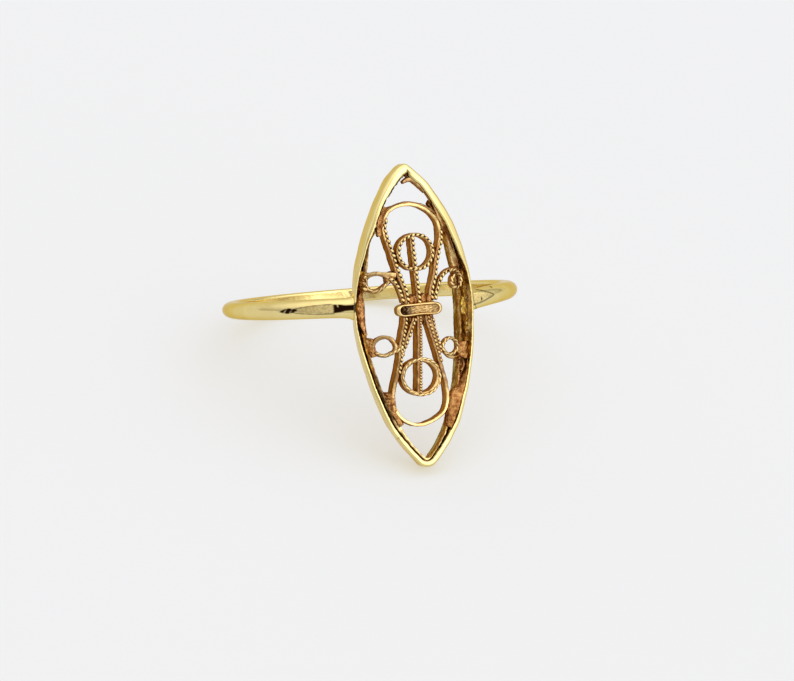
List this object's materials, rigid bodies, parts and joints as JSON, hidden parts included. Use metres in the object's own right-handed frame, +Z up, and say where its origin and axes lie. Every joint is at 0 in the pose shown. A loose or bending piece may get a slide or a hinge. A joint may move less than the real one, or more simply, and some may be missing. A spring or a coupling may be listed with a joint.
{
  "type": "openwork ring",
  "caption": "Finger ring with a slim wire band and a tall pointed-oval frame of pierced wire scrollwork, lyres and rings, tied at the waist by a small collar",
  "frame": {"origin": "centre of the base of the bounding box, on the surface that the ring lies on", "axes": "+Z up from the surface; +X from side to side of the band, which is also the width of the frame; the face of the frame looks along -Y and upwards"},
  "size_m": [0.019, 0.0222, 0.0171],
  "materials": {
    "polished_gold": "hand-polished yellow gold, 14 carat, worn bright with fine scratches",
    "wirework_gold": "beaded wire in darker, redder gold with rough solder and tarnish in the recesses"
  },
  "bodies": {
    "root": {"shank_and_frame": "polished_gold", "filigree_panel": "wirework_gold", "centre_collar": "wirework_gold"}
  },
  "joints": []
}
